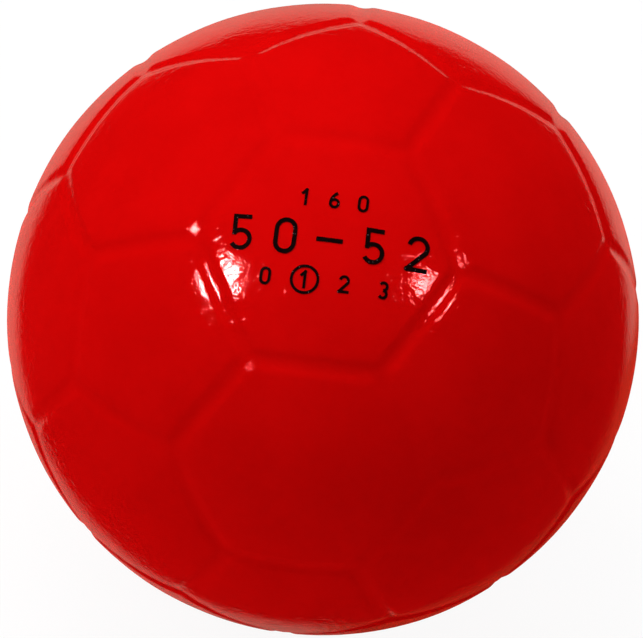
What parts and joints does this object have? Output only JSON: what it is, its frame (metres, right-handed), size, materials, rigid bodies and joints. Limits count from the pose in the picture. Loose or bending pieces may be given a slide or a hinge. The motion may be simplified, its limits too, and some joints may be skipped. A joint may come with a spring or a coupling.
{
  "type": "coated foam school ball",
  "caption": "Soft ball for hand play: a foam core with pressed-in panel channels under a glossy elastic skin, with plain numerals printed on one panel.",
  "frame": {"origin": "the ball's centre", "axes": "+Z is a five-fold axis of the panel pattern, up through the middle of a pentagon; -Y is the side of the print, which lies on the hexagon above the middle; +X is to the right of a reader of the print"},
  "size_m": [0.1598, 0.16, 0.16],
  "materials": {
    "core_foam": "matte",
    "pore_seal": "satin",
    "red_skin": "gloss",
    "black_ink": "satin"
  },
  "bodies": {
    "root": {"foam_core": "core_foam", "seal_coat": "pore_seal", "skin": "red_skin", "size_print": "black_ink"}
  },
  "joints": []
}
